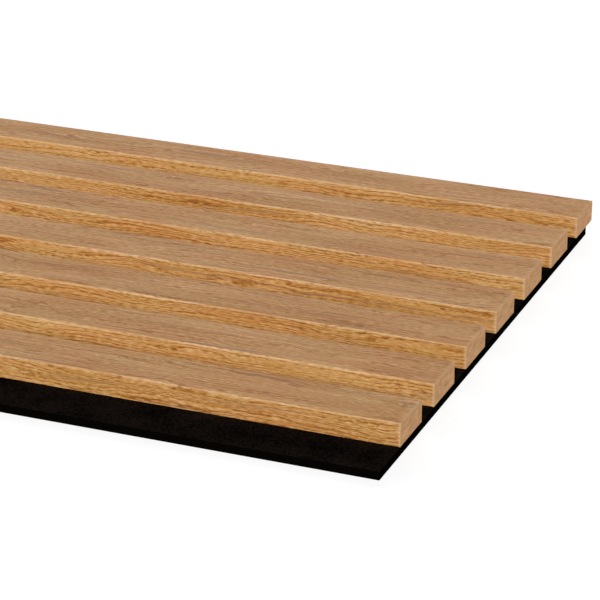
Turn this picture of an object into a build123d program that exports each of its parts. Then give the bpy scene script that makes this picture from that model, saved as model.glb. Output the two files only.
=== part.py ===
"""Slatted wall panel: wood-wrapped slats glued lengthwise on a sheet of felt.

The panel lies on its back. X runs along the slats, Y runs across them and Z points out of the wall.
The origin is on the back of the felt, at the middle of the panel's outline.
"""

import os

from build123d import *

# Panel, in millimetres
PANEL_LENGTH = 2400.0  # slats and felt are cut off together
SLAT_COUNT = 7

# Slat, measured over its wrap
SLAT_WIDTH = 25.0
SLAT_HEIGHT = 10.0
GROOVE_WIDTH = 15.0  # bare felt between two slats

# Wrap: a skin round the top and both sides of a core
WRAP_THICKNESS = 0.5
CORE_ARRIS_RADIUS = 0.5  # the core's two long top edges, which the wrap follows

# Felt, and the lap of one panel over the felt lip of the next
FELT_THICKNESS = 4.0
LAP_OVERHANG = 9.0  # how far the last slat stands out past the felt
LAP_CLEARANCE = 1.0  # play between the felts of two neighbouring panels

# Slat section
core_width = SLAT_WIDTH - 2 * WRAP_THICKNESS
core_height = SLAT_HEIGHT - WRAP_THICKNESS
wrap_arris_radius = CORE_ARRIS_RADIUS + WRAP_THICKNESS

# The lip reaches one groove and the overhang under the next panel, so the grooves stay even across the joint
slat_pitch = SLAT_WIDTH + GROOVE_WIDTH
felt_lip = GROOVE_WIDTH + LAP_OVERHANG - LAP_CLEARANCE
panel_width = felt_lip + SLAT_COUNT * slat_pitch - GROOVE_WIDTH
felt_width = panel_width - LAP_OVERHANG

# Places across the panel
lip_edge = -panel_width / 2
felt_centre = lip_edge + felt_width / 2
first_slat_centre = lip_edge + felt_lip + SLAT_WIDTH / 2

os.makedirs("parts", exist_ok=True)

# Felt backing
with BuildPart() as felt_backing:
    with BuildSketch():
        with Locations((0, felt_centre)):
            Rectangle(PANEL_LENGTH, felt_width)
    extrude(amount=FELT_THICKNESS)
felt_backing.part.label = "felt_backing"
export_step(felt_backing.part, "parts/felt_backing.step")

# Section of a core: a board with its two top corners rounded, standing on the felt
with BuildSketch() as core_section:
    Rectangle(core_width, core_height, align=(Align.CENTER, Align.MIN))
    fillet(core_section.vertices().group_by(Axis.Y)[-1], CORE_ARRIS_RADIUS)

# Section of a wrap: a channel that follows the core and ends flush with its underside
with BuildSketch() as wrap_section:
    Rectangle(SLAT_WIDTH, SLAT_HEIGHT, align=(Align.CENTER, Align.MIN))
    fillet(wrap_section.vertices().group_by(Axis.Y)[-1], wrap_arris_radius)
    add(core_section.sketch, mode=Mode.SUBTRACT)

# Slats, counted from the lip: each is a core and its wrap
for number in range(1, SLAT_COUNT + 1):
    slat_centre = first_slat_centre + (number - 1) * slat_pitch
    section_plane = Plane(origin=(0, slat_centre, FELT_THICKNESS), x_dir=(0, 1, 0), z_dir=(1, 0, 0))

    with BuildPart() as slat_core:
        with BuildSketch(section_plane):
            add(core_section.sketch)
        extrude(amount=PANEL_LENGTH / 2, both=True)
    slat_core.part.label = f"slat_core_{number}"
    export_step(slat_core.part, f"parts/slat_core_{number}.step")

    with BuildPart() as slat_wrap:
        with BuildSketch(section_plane):
            add(wrap_section.sketch)
        extrude(amount=PANEL_LENGTH / 2, both=True)
    slat_wrap.part.label = f"slat_wrap_{number}"
    export_step(slat_wrap.part, f"parts/slat_wrap_{number}.step")
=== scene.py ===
import math

import bmesh
import bpy
import numpy
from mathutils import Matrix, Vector


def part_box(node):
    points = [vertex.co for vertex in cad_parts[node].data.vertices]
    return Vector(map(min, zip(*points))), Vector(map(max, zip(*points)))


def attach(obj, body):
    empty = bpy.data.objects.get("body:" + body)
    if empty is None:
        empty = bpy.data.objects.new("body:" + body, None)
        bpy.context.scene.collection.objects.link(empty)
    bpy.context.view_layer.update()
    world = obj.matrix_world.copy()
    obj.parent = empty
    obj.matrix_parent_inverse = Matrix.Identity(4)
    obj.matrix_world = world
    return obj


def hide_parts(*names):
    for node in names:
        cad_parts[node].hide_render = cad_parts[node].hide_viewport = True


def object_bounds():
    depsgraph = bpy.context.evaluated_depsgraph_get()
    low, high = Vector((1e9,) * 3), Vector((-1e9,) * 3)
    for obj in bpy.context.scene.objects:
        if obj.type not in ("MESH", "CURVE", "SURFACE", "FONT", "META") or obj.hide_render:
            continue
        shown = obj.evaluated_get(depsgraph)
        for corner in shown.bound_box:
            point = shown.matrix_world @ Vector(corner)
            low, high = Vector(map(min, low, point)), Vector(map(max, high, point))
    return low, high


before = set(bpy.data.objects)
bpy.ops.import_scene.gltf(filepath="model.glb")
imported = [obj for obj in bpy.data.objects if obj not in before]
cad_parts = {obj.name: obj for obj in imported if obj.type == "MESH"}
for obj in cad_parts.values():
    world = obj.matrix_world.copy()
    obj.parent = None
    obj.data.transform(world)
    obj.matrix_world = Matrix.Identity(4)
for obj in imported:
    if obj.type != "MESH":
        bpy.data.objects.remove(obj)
cad_low, cad_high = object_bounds()

# Felt backing: one sheet of black needle-punched polyester felt, pressed to a board and cut square.
# The slats are glued to its front, and its back lies against the wall.
MM = 0.001
felt_low, felt_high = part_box("felt_backing")
felt_length, felt_width, felt_thickness = felt_high - felt_low
felt_cut_rounding, felt_cut_segments = 0.3 * MM, 2
felt_spans = 4  # the sheet is meshed in equal spans, which lie one above the other on its bake map
felt_map_pitch = 1.05  # from one field of the bake map to the next, in sizes of the field


def linear(colour):
    """An sRGB hex colour as linear RGBA."""
    channels = [int(colour[start : start + 2], 16) / 255 for start in (1, 3, 5)]
    return [c / 12.92 if c <= 0.04045 else ((c + 0.055) / 1.055) ** 2.4 for c in channels] + [1.0]


def add_node(tree, kind, inputs=None, **settings):
    """Add a node with its settings, and fill its inputs with values or with links."""
    node = tree.nodes.new(kind)
    for name, value in settings.items():
        setattr(node, name, value)
    for key, value in (inputs or {}).items():
        if isinstance(value, bpy.types.NodeSocket):
            tree.links.new(value, node.inputs[key])
        else:
            node.inputs[key].default_value = value
    return node


# Needle-punched felt swallows light: black, with no gloss, and only a faint cloud of fibre ends.
# Its cut edges are darker than its pressed faces: partly from their open fibre ends, and partly a painted
# sheen, as the pressed faces are painted lighter though the felt itself has no gloss.
felt_dark, felt_pale, felt_cut = "#080605", "#1e1815", "#060504"
felt_tuft = 0.9 * MM  # real fibres are 0.03 mm; drawn as coarse tufts so that they show
felt_cloud = 14 * MM
tuft_weight = 2.0  # beside a weight of 1 for the clouds
felt_noise_low, felt_noise_high = 1.2, 1.8
cut_slope, pressed_slope = 0.3, 0.9  # upright part of the normal on a cut edge and on a pressed face
nap_strength, nap_height = 0.5, 0.2 * MM

felt = bpy.data.materials.new("black_needle_felt")
felt.use_nodes = True
felt_tree = felt.node_tree
felt_shader = felt_tree.nodes["Principled BSDF"]
felt_coordinates = add_node(felt_tree, "ShaderNodeTexCoord").outputs
felt_place = felt_coordinates["Object"]
tufts = add_node(
    felt_tree, "ShaderNodeTexNoise", {"Vector": felt_place, "Scale": 1 / felt_tuft, "Detail": 3.0}
).outputs["Fac"]
felt_clouds = add_node(
    felt_tree, "ShaderNodeTexNoise", {"Vector": felt_place, "Scale": 1 / felt_cloud, "Detail": 2.0}
).outputs["Fac"]
felt_noise = add_node(
    felt_tree, "ShaderNodeMath", {0: tufts, 1: tuft_weight, 2: felt_clouds}, operation="MULTIPLY_ADD"
).outputs[0]
fibre_ends = add_node(
    felt_tree,
    "ShaderNodeMapRange",
    {"Value": felt_noise, "From Min": felt_noise_low, "From Max": felt_noise_high},
).outputs["Result"]
pressed_colour = add_node(
    felt_tree,
    "ShaderNodeMix",
    {"Factor": fibre_ends, "A": linear(felt_dark), "B": linear(felt_pale)},
    data_type="RGBA",
).outputs["Result"]
felt_facing = add_node(
    felt_tree, "ShaderNodeSeparateXYZ", {"Vector": felt_coordinates["Normal"]}
).outputs["Z"]
felt_slope = add_node(felt_tree, "ShaderNodeMath", {0: felt_facing}, operation="ABSOLUTE").outputs[0]
# Painted sheen: this mask paints the pressed faces lighter than the cut edges
pressed_with_sheen = add_node(
    felt_tree, "ShaderNodeMapRange", {"Value": felt_slope, "From Min": cut_slope, "From Max": pressed_slope}
).outputs["Result"]
felt_colour = add_node(
    felt_tree,
    "ShaderNodeMix",
    {"Factor": pressed_with_sheen, "A": linear(felt_cut), "B": pressed_colour},
    data_type="RGBA",
).outputs["Result"]
nap = add_node(
    felt_tree, "ShaderNodeBump", {"Height": tufts, "Strength": nap_strength, "Distance": nap_height}
).outputs["Normal"]
felt_tree.links.new(felt_colour, felt_shader.inputs["Base Color"])
felt_tree.links.new(nap, felt_shader.inputs["Normal"])
felt_shader.inputs["Roughness"].default_value = 1.0
felt_shader.inputs["Specular IOR Level"].default_value = 0.0


def block(low, high):
    """A new mesh with one box between two corners."""
    mesh = bmesh.new()
    bmesh.ops.create_cube(mesh, size=1.0)
    bmesh.ops.scale(mesh, vec=high - low, verts=mesh.verts)
    bmesh.ops.translate(mesh, vec=(low + high) / 2, verts=mesh.verts)
    return mesh


def round_edges(mesh, edges, radius, segments):
    """Round some edges of a mesh to a radius."""
    bmesh.ops.bevel(
        mesh,
        geom=edges,
        offset=radius,
        offset_type="OFFSET",
        segments=segments,
        profile=0.5,
        affect="EDGES",
        material=-1,
    )


def cut_in_spans(mesh, start, length, count):
    """Cut a long mesh across X into equal spans."""
    for cut in range(1, count):
        bmesh.ops.bisect_plane(
            mesh,
            geom=mesh.verts[:] + mesh.edges[:] + mesh.faces[:],
            plane_co=(start + length * cut / count, 0, 0),
            plane_no=(1, 0, 0),
        )


def span_of(face, start, length, count):
    """The number of the span that a face lies in, from 0."""
    return min(int((face.calc_center_median().x - start) * count / length), count - 1)


def finished_piece(name, mesh, materials, node):
    """Turn a mesh into an object that stands for a CAD node."""
    data = bpy.data.meshes.new(name)
    mesh.to_mesh(data)
    mesh.free()
    piece = bpy.data.objects.new(name, data)
    bpy.context.collection.objects.link(piece)
    for material in materials:
        data.materials.append(material)
    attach(piece, "root")
    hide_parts(node)
    return piece


mesh = block(felt_low, felt_high)
round_edges(mesh, mesh.edges[:], felt_cut_rounding, felt_cut_segments)
cut_in_spans(mesh, felt_low.x, felt_length, felt_spans)
# On the bake map the front is the left column of spans, and the back is the right one
bake_map = mesh.loops.layers.uv.new("OFBake")
span_length = felt_length / felt_spans
column_pitch = felt_map_pitch * span_length
row_pitch = felt_map_pitch * (felt_width + felt_thickness)
map_size = 2 * column_pitch
for face in mesh.faces:
    span = span_of(face, felt_low.x, felt_length, felt_spans)
    column = 0.0 if face.normal.z > 0 else column_pitch
    for loop in face.loops:
        along = loop.vert.co.x - felt_low.x - span * span_length
        across = loop.vert.co.y - felt_low.y + loop.vert.co.z
        loop[bake_map].uv = ((column + along) / map_size, (span * row_pitch + across) / map_size)
felt_backing = finished_piece("felt_backing_sheet", mesh, [felt], "felt_backing")

# Slat cores: straight fibreboard battens with their two long top edges eased, glued on the felt.
# They show only at the sawn ends and on the underside of the last slat, which stands out past the felt.
slat_count = sum(name.startswith("slat_core_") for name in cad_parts)
core_arris_radius = 0.5 * MM
arris_segments = 6
core_spans = 4

# Sawn medium-density fibreboard: matt pale tan and finely flecked. Its fibres lie flat, which mottles it
# softly across, and the saw leaves the faintest upright marks.
board_dark, board_pale = "#b4824e", "#e7b98e"
board_rose_cast, board_straw_cast = (1.03, 0.985, 1.0, 1.0), (0.97, 0.985, 0.92, 1.0)
board_fleck = 0.4 * MM  # real fibres are much finer; drawn coarser so that they show
saw_mark_length, saw_mark_width, saw_mark_depth = 7 * MM, 1.3 * MM, 1 * MM
layer_length, layer_height = 8 * MM, 2.2 * MM
board_blotch = 5 * MM
saw_mark_weight, layer_weight = 0.3, 0.6  # beside a weight of 1 for the flecks
board_noise_low, board_noise_high = 0.7, 1.2
noise_low, noise_high = 0.35, 0.65  # most values of a single noise lie between these
grit_strength, grit_height = 0.25, 0.1 * MM

fibreboard = bpy.data.materials.new("sawn_fibreboard")
fibreboard.use_nodes = True
board_tree = fibreboard.node_tree
board_shader = board_tree.nodes["Principled BSDF"]
board_place = add_node(board_tree, "ShaderNodeTexCoord").outputs["Object"]
board_flecks = add_node(
    board_tree, "ShaderNodeTexNoise", {"Vector": board_place, "Scale": 1 / board_fleck, "Detail": 3.0}
).outputs["Fac"]
upright_place = add_node(
    board_tree,
    "ShaderNodeMapping",
    {"Vector": board_place, "Scale": (1 / saw_mark_depth, 1 / saw_mark_width, 1 / saw_mark_length)},
).outputs[0]
saw_marks = add_node(
    board_tree, "ShaderNodeTexNoise", {"Vector": upright_place, "Scale": 1.0, "Detail": 1.0}
).outputs["Fac"]
flat_place = add_node(
    board_tree,
    "ShaderNodeMapping",
    {"Vector": board_place, "Scale": (1 / layer_length, 1 / layer_length, 1 / layer_height)},
).outputs[0]
layers = add_node(
    board_tree, "ShaderNodeTexNoise", {"Vector": flat_place, "Scale": 1.0, "Detail": 2.0}
).outputs["Fac"]
sawn_noise = add_node(
    board_tree,
    "ShaderNodeMath",
    {0: saw_marks, 1: saw_mark_weight, 2: board_flecks},
    operation="MULTIPLY_ADD",
).outputs[0]
board_noise = add_node(
    board_tree, "ShaderNodeMath", {0: layers, 1: layer_weight, 2: sawn_noise}, operation="MULTIPLY_ADD"
).outputs[0]
board_tone = add_node(
    board_tree,
    "ShaderNodeMapRange",
    {"Value": board_noise, "From Min": board_noise_low, "From Max": board_noise_high},
).outputs["Result"]
tan = add_node(
    board_tree,
    "ShaderNodeMix",
    {"Factor": board_tone, "A": linear(board_dark), "B": linear(board_pale)},
    data_type="RGBA",
).outputs["Result"]
blotches = add_node(
    board_tree, "ShaderNodeTexNoise", {"Vector": board_place, "Scale": 1 / board_blotch, "Detail": 1.0}
).outputs["Fac"]
board_cast_share = add_node(
    board_tree, "ShaderNodeMapRange", {"Value": blotches, "From Min": noise_low, "From Max": noise_high}
).outputs["Result"]
board_cast = add_node(
    board_tree,
    "ShaderNodeMix",
    {"Factor": board_cast_share, "A": board_rose_cast, "B": board_straw_cast},
    data_type="RGBA",
).outputs["Result"]
board_colour = add_node(
    board_tree,
    "ShaderNodeMix",
    {"Factor": 1.0, "A": tan, "B": board_cast},
    data_type="RGBA",
    blend_type="MULTIPLY",
).outputs["Result"]
grit = add_node(
    board_tree, "ShaderNodeBump", {"Height": board_tone, "Strength": grit_strength, "Distance": grit_height}
).outputs["Normal"]
board_tree.links.new(board_colour, board_shader.inputs["Base Color"])
board_tree.links.new(grit, board_shader.inputs["Normal"])
board_shader.inputs["Roughness"].default_value = 0.85
board_shader.inputs["Specular IOR Level"].default_value = 0.2


def long_top_edges(mesh, low, high):
    """The two edges that run along the top of a slat."""
    middle = (low + high) / 2
    return [
        edge
        for edge in mesh.edges
        if all(vert.co.z > middle.z for vert in edge.verts)
        and abs(edge.verts[0].co.x - edge.verts[1].co.x) > (high.x - low.x) / 2
    ]


square_to_axis = 0.9  # a face looks along an axis where that part of its normal is larger
# On the bake map the two sawn ends are large, the underside lies below them in rows, one for each span,
# and the faces that the wrap covers lie in small rows between. Sizes and places are shares of the map.
map_margin = 0.02
end_map_width, end_map_bottom, second_end_left = 0.45, 0.75, 0.52
row_width = 0.75
underside_row_pitch, underside_row_height = 0.06, 0.045
covered_map_bottom, covered_row_pitch, covered_map_per_metre = 0.35, 0.08, 1.2
for number in range(1, slat_count + 1):
    core_low, core_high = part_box(f"slat_core_{number}")
    core_length, core_width = (core_high - core_low).xy
    mesh = block(core_low, core_high)
    round_edges(mesh, long_top_edges(mesh, core_low, core_high), core_arris_radius, arris_segments)
    cut_in_spans(mesh, core_low.x, core_length, core_spans)
    bake_map = mesh.loops.layers.uv.new("OFBake")
    end_map_per_metre = end_map_width / core_width
    for face in mesh.faces:
        span = span_of(face, core_low.x, core_length, core_spans)
        end_left = map_margin if face.normal.x > 0 else second_end_left
        in_front_half = face.calc_center_median().y < core_low.y + core_width / 2
        for loop in face.loops:
            along, across, up = loop.vert.co - core_low
            along_row = map_margin + row_width * (along * core_spans / core_length - span)
            if abs(face.normal.x) > square_to_axis:
                spot = (end_left + across * end_map_per_metre, end_map_bottom + up * end_map_per_metre)
            elif face.normal.z < -square_to_axis:
                row = map_margin + underside_row_pitch * span
                spot = (along_row, row + underside_row_height * across / core_width)
            else:
                row = covered_map_bottom + covered_row_pitch * span
                around = across + up if in_front_half else across - up
                spot = (along_row, row + covered_map_per_metre * around)
            loop[bake_map].uv = spot
    finished_piece(f"slat_core_{number}_board", mesh, [fibreboard], f"slat_core_{number}")

# Slat wraps: a thin oak-grain skin, glued round the top and both sides of each core and cut off with it.
# It is one flat sheet bent over the two long top edges, so the grain runs on from the top down the sides.
wrap_arris_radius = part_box("slat_core_1")[0].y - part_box("slat_wrap_1")[0].y + core_arris_radius
wrap_spans = 8
sheet_step = 0.61  # metres across the sheet from the cut for one slat to the next

# Oiled oak: golden brown with fine lengthwise strokes that waver, darker pores, a few grey-brown streaks
# and a soft satin shine.
oak = bpy.data.materials.new("oiled_oak_wrap")
oak.use_nodes = True
oak_tree = oak.node_tree
oak_shader = oak_tree.nodes["Principled BSDF"]
oak_coordinates = add_node(oak_tree, "ShaderNodeTexCoord").outputs
grain = add_node(oak_tree, "ShaderNodeUVMap", uv_map="grain").outputs["UV"]


def figure(vector, length, width, detail):
    """Noise drawn out along the grain of the oak: the length and width are those of one stroke."""
    drawn = add_node(oak_tree, "ShaderNodeMapping", {"Vector": vector, "Scale": (1 / length, 1 / width, 1)})
    noise = add_node(
        oak_tree,
        "ShaderNodeTexNoise",
        {"Vector": drawn.outputs[0], "Scale": 1.0, "Detail": detail},
        noise_dimensions="2D",
    )
    return noise.outputs["Fac"]


# Flow: the grain isn't straight, it wavers slowly and ripples in short waves
waver_length, waver_width, waver_reach = 80 * MM, 20 * MM, 7 * MM
ripple_length, ripple_width, ripple_reach = 12 * MM, 4 * MM, 0.9 * MM
waver = figure(grain, waver_length, waver_width, detail=2.0)
ripple = figure(grain, ripple_length, ripple_width, detail=1.0)
waver_shift = add_node(
    oak_tree, "ShaderNodeMath", {0: waver, 1: waver_reach, 2: -waver_reach / 2}, operation="MULTIPLY_ADD"
).outputs[0]
shift = add_node(
    oak_tree, "ShaderNodeMath", {0: ripple, 1: ripple_reach, 2: waver_shift}, operation="MULTIPLY_ADD"
).outputs[0]
sideways = add_node(oak_tree, "ShaderNodeCombineXYZ", {"Y": shift}).outputs[0]
flow = add_node(oak_tree, "ShaderNodeVectorMath", {0: grain, 1: sideways}, operation="ADD").outputs[0]

# Tone: clouds, slow streaks and short strokes. The strokes are stronger in some patches, and fainter on the
# tops than on the sides.
cloud_length, cloud_width, cloud_weight = 90 * MM, 14 * MM, 0.32
streak_length, streak_width, streak_weight = 70 * MM, 2.0 * MM, 0.28
stroke_length, stroke_width, stroke_middle = 3.4 * MM, 0.5 * MM, 0.5
patch_length, patch_width = 45 * MM, 8 * MM
calm_patch, lively_patch = 0.78, 1.2
strength_on_side, strength_on_top = 0.98, 0.7
clouds = figure(grain, cloud_length, cloud_width, detail=1.0)
streaks = figure(flow, streak_length, streak_width, detail=3.0)
strokes = figure(flow, stroke_length, stroke_width, detail=3.0)
patches = figure(grain, patch_length, patch_width, detail=2.0)
patch_strength = add_node(
    oak_tree,
    "ShaderNodeMapRange",
    {
        "Value": patches,
        "From Min": noise_low,
        "From Max": noise_high,
        "To Min": calm_patch,
        "To Max": lively_patch,
    },
).outputs["Result"]
facing_up = add_node(oak_tree, "ShaderNodeSeparateXYZ", {"Vector": oak_coordinates["Normal"]}).outputs["Z"]
strength_by_facing = add_node(
    oak_tree,
    "ShaderNodeMapRange",
    {"Value": facing_up, "To Min": strength_on_side, "To Max": strength_on_top},
).outputs["Result"]
strength = add_node(
    oak_tree, "ShaderNodeMath", {0: patch_strength, 1: strength_by_facing}, operation="MULTIPLY"
).outputs[0]
stroke_swing = add_node(
    oak_tree, "ShaderNodeMath", {0: strokes, 1: stroke_middle}, operation="SUBTRACT"
).outputs[0]
stroke_tone = add_node(
    oak_tree, "ShaderNodeMath", {0: stroke_swing, 1: strength}, operation="MULTIPLY"
).outputs[0]
streak_tone = add_node(
    oak_tree, "ShaderNodeMath", {0: streaks, 1: streak_weight, 2: stroke_tone}, operation="MULTIPLY_ADD"
).outputs[0]
plain_tone = add_node(
    oak_tree, "ShaderNodeMath", {0: clouds, 1: cloud_weight, 2: streak_tone}, operation="MULTIPLY_ADD"
).outputs[0]

# Growth rings: each starts with a line of open pores, the early wood, and fades into plain late wood.
# In some places the line runs clean, in others it breaks into specks.
ring_spacing, early_wood_share = 1.7 * MM, 0.5
drift_length, drift_width, drift_reach = 150 * MM, 6 * MM, 5.0  # the reach is in rings
pore_length, pore_width = 2.9 * MM, 0.39 * MM  # real pores are 0.2 to 0.3 mm wide; drawn wider to show
pore_low, pore_high = 0.4, 0.64
shallow_pore_tone, deep_pore_tone = -0.24, -0.5
late_wood_tone, middle_tone = 0.09, 0.18
cast_length, cast_width = 40 * MM, 10 * MM
clean_line, ragged_line = 0.15, 0.95  # how far pores shift the line, in rings
drift = figure(grain, drift_length, drift_width, detail=1.0)
pores = figure(flow, pore_length, pore_width, detail=2.0)
casts = figure(grain, cast_length, cast_width, detail=1.0)
across_flow = add_node(oak_tree, "ShaderNodeSeparateXYZ", {"Vector": flow}).outputs["Y"]
ring_shift = add_node(
    oak_tree, "ShaderNodeMath", {0: drift, 1: drift_reach}, operation="MULTIPLY"
).outputs[0]
smooth_rings = add_node(
    oak_tree,
    "ShaderNodeMath",
    {0: across_flow, 1: 1 / ring_spacing, 2: ring_shift},
    operation="MULTIPLY_ADD",
).outputs[0]
raggedness = add_node(
    oak_tree,
    "ShaderNodeMapRange",
    {
        "Value": casts,
        "From Min": noise_low,
        "From Max": noise_high,
        "To Min": clean_line,
        "To Max": ragged_line,
    },
).outputs["Result"]
rings = add_node(
    oak_tree, "ShaderNodeMath", {0: pores, 1: raggedness, 2: smooth_rings}, operation="MULTIPLY_ADD"
).outputs[0]
part_of_ring = add_node(oak_tree, "ShaderNodeMath", {0: rings}, operation="FRACT").outputs[0]
early_wood = add_node(
    oak_tree,
    "ShaderNodeMapRange",
    {"Value": part_of_ring, "From Max": early_wood_share, "To Min": 1.0, "To Max": 0.0},
    interpolation_type="SMOOTHSTEP",
).outputs["Result"]
pore_tone = add_node(
    oak_tree,
    "ShaderNodeMapRange",
    {
        "Value": pores,
        "From Min": pore_low,
        "From Max": pore_high,
        "To Min": shallow_pore_tone,
        "To Max": deep_pore_tone,
    },
    interpolation_type="SMOOTHSTEP",
).outputs["Result"]
ring_swing = add_node(
    oak_tree, "ShaderNodeMath", {0: pore_tone, 1: early_wood, 2: late_wood_tone}, operation="MULTIPLY_ADD"
).outputs[0]
ring_tone = add_node(
    oak_tree, "ShaderNodeMath", {0: ring_swing, 1: strength, 2: middle_tone}, operation="MULTIPLY_ADD"
).outputs[0]
oak_tone = add_node(oak_tree, "ShaderNodeMath", {0: plain_tone, 1: ring_tone}, operation="ADD").outputs[0]

# Colour: browns from dark to pale by tone. The gold leans to rose in some places and to straw in others,
# and minerals stain it grey-brown in a few streaks.
oak_browns = [(0.14, "#844f1a"), (0.34, "#a46d30"), (0.48, "#b58146"), (0.62, "#c2935a"), (0.86, "#d0a874")]
oak_rose_cast, oak_straw_cast = (1.022, 0.984, 1.0, 1.0), (0.982, 1.007, 0.985, 1.0)
mineral_brown = "#86644a"
mineral_length, mineral_width = 90 * MM, 3 * MM
mineral_low, mineral_high, mineral_most = 0.63, 0.76, 0.7
ramp = add_node(oak_tree, "ShaderNodeValToRGB", {"Fac": oak_tone})
while len(ramp.color_ramp.elements) < len(oak_browns):
    ramp.color_ramp.elements.new(0.5)
for element, (position, colour) in zip(ramp.color_ramp.elements, oak_browns):
    element.position = position
    element.color = linear(colour)
oak_cast_share = add_node(
    oak_tree, "ShaderNodeMapRange", {"Value": casts, "From Min": noise_low, "From Max": noise_high}
).outputs["Result"]
oak_cast = add_node(
    oak_tree,
    "ShaderNodeMix",
    {"Factor": oak_cast_share, "A": oak_rose_cast, "B": oak_straw_cast},
    data_type="RGBA",
).outputs["Result"]
gold = add_node(
    oak_tree,
    "ShaderNodeMix",
    {"Factor": 1.0, "A": ramp.outputs["Color"], "B": oak_cast},
    data_type="RGBA",
    blend_type="MULTIPLY",
).outputs["Result"]
minerals = figure(flow, mineral_length, mineral_width, detail=2.0)
stain = add_node(
    oak_tree,
    "ShaderNodeMapRange",
    {"Value": minerals, "From Min": mineral_low, "From Max": mineral_high, "To Max": mineral_most},
).outputs["Result"]
stained_gold = add_node(
    oak_tree, "ShaderNodeMix", {"Factor": stain, "A": gold, "B": linear(mineral_brown)}, data_type="RGBA"
).outputs["Result"]

# Painted highlight: a paler line is painted along the two arrises where they catch the light, more in some
# places than in others, and less in the pores. At both ends a paler rim is painted, partly the skin's edge
# broken by the saw and partly a painted highlight along that edge, weakest on the top.
highlight_oak = "#d6b892"
least_highlight, most_highlight, highlight_in_pores = 0.5, 1.1, 0.3
rim_width, rim_on_side, rim_on_top = 1.4 * MM, 0.56, 0.3
# Mask of the painted highlight along the two arrises
arris_highlight_mask = add_node(oak_tree, "ShaderNodeAttribute", attribute_name="arris").outputs["Fac"]
highlight_patches = add_node(
    oak_tree,
    "ShaderNodeMapRange",
    {
        "Value": patches,
        "From Min": noise_low,
        "From Max": noise_high,
        "To Min": least_highlight,
        "To Max": most_highlight,
    },
).outputs["Result"]
patchy_highlight = add_node(oak_tree, "ShaderNodeMath", {0: arris_highlight_mask, 1: highlight_patches}, operation="MULTIPLY").outputs[0]
highlight_outside_pores = add_node(
    oak_tree,
    "ShaderNodeMapRange",
    {"Value": pores, "From Min": pore_low, "From Max": pore_high, "To Min": 1.0, "To Max": highlight_in_pores},
).outputs["Result"]
arris_highlight = add_node(
    oak_tree, "ShaderNodeMath", {0: patchy_highlight, 1: highlight_outside_pores}, operation="MULTIPLY"
).outputs[0]
along_slat = add_node(oak_tree, "ShaderNodeSeparateXYZ", {"Vector": oak_coordinates["Object"]}).outputs["X"]
from_middle = add_node(oak_tree, "ShaderNodeMath", {0: along_slat}, operation="ABSOLUTE").outputs[0]
rim_strength = add_node(
    oak_tree, "ShaderNodeMapRange", {"Value": facing_up, "To Min": rim_on_side, "To Max": rim_on_top}
).outputs["Result"]
# Paler rim at both ends: partly the skin's edge broken by the saw, partly a painted highlight along the
# edge
pale_rim = add_node(
    oak_tree,
    "ShaderNodeMapRange",
    {
        "Value": from_middle,
        "From Min": cad_high.x - rim_width,
        "From Max": cad_high.x,
        "To Max": rim_strength,
    },
).outputs["Result"]
highlight_and_wear = add_node(oak_tree, "ShaderNodeMath", {0: arris_highlight, 1: pale_rim}, operation="MAXIMUM").outputs[0]
oak_colour = add_node(
    oak_tree, "ShaderNodeMix", {"Factor": highlight_and_wear, "A": stained_gold, "B": linear(highlight_oak)}, data_type="RGBA"
).outputs["Result"]

# Finish: the dark strokes are open and a little rougher, and the pale wood between them has a satin shine
relief_strength, relief_height = 0.35, 0.15 * MM
rough_tone, satin_tone = 0.2, 0.7
rough_finish, satin_finish = 0.58, 0.44
relief = add_node(
    oak_tree, "ShaderNodeBump", {"Height": oak_tone, "Strength": relief_strength, "Distance": relief_height}
).outputs["Normal"]
roughness = add_node(
    oak_tree,
    "ShaderNodeMapRange",
    {
        "Value": oak_tone,
        "From Min": rough_tone,
        "From Max": satin_tone,
        "To Min": rough_finish,
        "To Max": satin_finish,
    },
).outputs["Result"]
oak_tree.links.new(oak_colour, oak_shader.inputs["Base Color"])
oak_tree.links.new(relief, oak_shader.inputs["Normal"])
oak_tree.links.new(roughness, oak_shader.inputs["Roughness"])
oak_shader.inputs["Specular IOR Level"].default_value = 0.36

# The cut edge of the wrap is the plain body of the sheet, a shade paler than the core beside it
edge_dark, edge_pale = "#c89a6a", "#dcb082"
edge_fleck = 0.8 * MM  # real fibres are much finer; drawn coarser so that they show
wrap_edge = bpy.data.materials.new("wrap_cut_edge")
wrap_edge.use_nodes = True
edge_tree = wrap_edge.node_tree
edge_shader = edge_tree.nodes["Principled BSDF"]
edge_place = add_node(edge_tree, "ShaderNodeTexCoord").outputs["Object"]
edge_flecks = add_node(
    edge_tree, "ShaderNodeTexNoise", {"Vector": edge_place, "Scale": 1 / edge_fleck, "Detail": 2.0}
).outputs["Fac"]
edge_colour = add_node(
    edge_tree,
    "ShaderNodeMix",
    {"Factor": edge_flecks, "A": linear(edge_dark), "B": linear(edge_pale)},
    data_type="RGBA",
).outputs["Result"]
edge_tree.links.new(edge_colour, edge_shader.inputs["Base Color"])
edge_shader.inputs["Roughness"].default_value = 0.7
edge_shader.inputs["Specular IOR Level"].default_value = 0.2


def turn_about(pivot, spot):
    """The angle of a spot about a pivot below the slat, from its front over its top to its back."""
    return math.atan2(spot.z - pivot.z, pivot.y - spot.y)


arris_highlight_scale = 2.6  # brings the highest value of rise squared times reach on the arris to 1
bend_least, bend_most = 0.02, 0.999  # upright part of the normal on the faces of the arris
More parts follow.
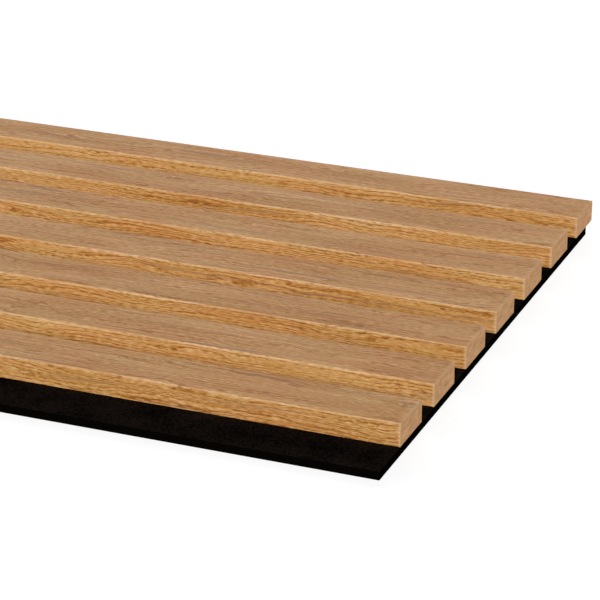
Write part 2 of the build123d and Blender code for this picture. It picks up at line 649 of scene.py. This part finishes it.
# On the bake map the outside lies in rows, one for each span, and the inside and the cut edges lie beside
# them in a narrow field, whose sizes and place are shares of the map.
row_pitch_in_girths = 1.02
inside_left, inside_width, inside_slant = 0.9, 0.06, 0.02
inside_bottom, inside_height = 0.02, 0.9
for number in range(1, slat_count + 1):
    wrap_low, wrap_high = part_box(f"slat_wrap_{number}")
    wrap_length, wrap_width, wrap_height = wrap_high - wrap_low
    wrap_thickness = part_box(f"slat_core_{number}")[0].y - wrap_low.y
    mesh = block(wrap_low, wrap_high)
    open_faces = [
        face
        for face in mesh.faces
        if abs(face.normal.x) > square_to_axis or face.normal.z < -square_to_axis
    ]
    bmesh.ops.delete(mesh, geom=open_faces, context="FACES")
    round_edges(mesh, long_top_edges(mesh, wrap_low, wrap_high), wrap_arris_radius, arris_segments)
    cut_in_spans(mesh, wrap_low.x, wrap_length, wrap_spans)

    # Distances over the skin from its lower front edge, to be read off by the turn about the pivot
    pivot = Vector((0, wrap_low.y + wrap_width / 2, wrap_low.z - wrap_height))
    end_spots = [vert.co.copy() for vert in mesh.verts if vert.co.x < wrap_low.x + MM]
    end_spots.sort(key=lambda spot: turn_about(pivot, spot))
    turns = [turn_about(pivot, spot) for spot in end_spots]
    steps = [(after - before).length for before, after in zip(end_spots, end_spots[1:])]
    distances = numpy.concatenate([[0.0], numpy.cumsum(steps)])
    girth = distances[-1]

    outside_faces = mesh.faces[:]
    bmesh.ops.solidify(mesh, geom=outside_faces, thickness=wrap_thickness)
    outside_faces = set(outside_faces)
    # The arris attribute is the mask of the painted highlight along the two arrises
    arris_layer = mesh.verts.layers.float.new("arris")
    for vert in mesh.verts:
        rise = 1 - (wrap_high.z - vert.co.z) / wrap_arris_radius
        reach = 1 - min(vert.co.y - wrap_low.y, wrap_high.y - vert.co.y) / wrap_arris_radius
        if rise > 0 and reach > 0:
            vert[arris_layer] = (arris_highlight_scale * rise**2 * reach) ** 2

    grain_map = mesh.loops.layers.uv.new("grain")
    bake_map = mesh.loops.layers.uv.new("OFBake")
    span_length = wrap_length / wrap_spans
    row_pitch = row_pitch_in_girths * girth
    map_size = wrap_spans * row_pitch
    for face in mesh.faces:
        span = span_of(face, wrap_low.x, wrap_length, wrap_spans)
        is_outside = face in outside_faces
        face.material_index = 0 if is_outside else 1
        face.smooth = is_outside and bend_least < abs(face.normal.z) < bend_most
        for loop in face.loops:
            along = loop.vert.co.x - wrap_low.x
            up = loop.vert.co.z - wrap_low.z
            around = numpy.interp(turn_about(pivot, loop.vert.co), turns, distances)
            loop[grain_map].uv = (loop.vert.co.x, around + number * sheet_step)
            if is_outside:
                spot = ((along - span * span_length) / map_size, (span * row_pitch + around) / map_size)
            else:
                spot = (
                    inside_left + inside_width * along / wrap_length + inside_slant * up / wrap_height,
                    inside_bottom + inside_height * around / girth,
                )
            loop[bake_map].uv = spot
    for edge in mesh.edges:
        edge.smooth = all(face.smooth for face in edge.link_faces)
    finished_piece(f"slat_wrap_{number}_skin", mesh, [oak, wrap_edge], f"slat_wrap_{number}")

# Studio: a white floor that the panel lies on, a white surround, a low key light from the front right
# that reaches down the grooves, and a weak broad light from behind that lifts the tops.
floor_reach = 15.0
floor_mesh = bmesh.new()
bmesh.ops.create_grid(floor_mesh, x_segments=1, y_segments=1, size=floor_reach)
bmesh.ops.translate(floor_mesh, vec=(0, 0, cad_low.z), verts=floor_mesh.verts)
floor_data = bpy.data.meshes.new("floor")
floor_mesh.to_mesh(floor_data)
floor_mesh.free()
floor = bpy.data.objects.new("floor", floor_data)
bpy.context.collection.objects.link(floor)


def seen_by_eye(tree):
    """1 for what is looked at, straight, in a gloss or through glass, and 0 for the light on the panel."""
    rays = add_node(tree, "ShaderNodeLightPath").outputs
    straight_or_gloss = add_node(
        tree, "ShaderNodeMath", {0: rays["Is Camera Ray"], 1: rays["Is Glossy Ray"]}, operation="MAXIMUM"
    ).outputs[0]
    return add_node(
        tree,
        "ShaderNodeMath",
        {0: straight_or_gloss, 1: rays["Is Transmission Ray"]},
        operation="MAXIMUM",
    ).outputs[0]


# White painted floor: it takes the panel's shadow, and to the eye the rest of it is as white as the
# surround. It throws less light back on the panel than it shows.
floor_grey, floor_grey_seen, floor_glow_seen = 0.2, 0.5, 0.66
paint = bpy.data.materials.new("white_floor")
paint.use_nodes = True
floor_tree = paint.node_tree
floor_tree.nodes.remove(floor_tree.nodes["Principled BSDF"])
floor_seen = seen_by_eye(floor_tree)
glow_level = add_node(
    floor_tree, "ShaderNodeMath", {0: floor_seen, 1: floor_glow_seen}, operation="MULTIPLY"
).outputs[0]
grey_level = add_node(
    floor_tree,
    "ShaderNodeMapRange",
    {"Value": floor_seen, "To Min": floor_grey, "To Max": floor_grey_seen},
).outputs["Result"]
matt = add_node(floor_tree, "ShaderNodeBsdfDiffuse", {"Color": grey_level}).outputs[0]
glow = add_node(floor_tree, "ShaderNodeEmission", {"Strength": glow_level}).outputs[0]
painted = add_node(floor_tree, "ShaderNodeAddShader", {0: matt, 1: glow}).outputs[0]
floor_tree.links.new(painted, floor_tree.nodes["Material Output"].inputs["Surface"])
floor_data.materials.append(paint)

# White surround: full white to the eye, and a faint even light on the panel
surround_light, surround_seen = 0.048, 1.0
world = bpy.data.worlds.new("studio")
bpy.context.scene.world = world
world.use_nodes = True
world_tree = world.node_tree
surround_level = add_node(
    world_tree,
    "ShaderNodeMapRange",
    {"Value": seen_by_eye(world_tree), "To Min": surround_light, "To Max": surround_seen},
).outputs["Result"]
background = world_tree.nodes["Background"]
background.inputs["Color"].default_value = linear("#ffffff")
world_tree.links.new(surround_level, background.inputs["Strength"])

for lamp_name, toward, power, spread, shows_in_gloss in (
    ("key_light", Vector((0.45, -0.78, 0.42)), 4.0, 15.0, True),
    ("back_light", Vector((-0.40, 0.80, 0.36)), 1.2, 40.0, False),
):
    lamp = bpy.data.lights.new(lamp_name, "SUN")
    lamp.energy = power
    lamp.angle = math.radians(spread)
    light = bpy.data.objects.new(lamp_name, lamp)
    light.rotation_euler = toward.to_track_quat("Z", "Y").to_euler()
    light.location = toward
    light.visible_glossy = shows_in_gloss
    bpy.context.collection.objects.link(light)

# Camera: a long lens from the front right, looking down on the near end of the panel.
camera_place = Vector((1.5231, -1.0405, 0.4748))
camera_target = Vector((1.1091, 0.0016, 0.0040))
camera_roll = math.radians(0.27)
sensor_width, focal_length = 36.0, 166.6  # millimetres
sight_length = 100.0
lens = bpy.data.cameras.new("camera")
lens.sensor_width = sensor_width
lens.lens = focal_length
lens.clip_end = sight_length
camera = bpy.data.objects.new("camera", lens)
camera.location = camera_place
camera.rotation_euler = (camera_target - camera_place).to_track_quat("-Z", "Y").to_euler()
camera.rotation_euler.rotate_axis("Z", camera_roll)
bpy.context.collection.objects.link(camera)
bpy.context.scene.camera = camera
bpy.context.scene.view_settings.view_transform = "Standard"
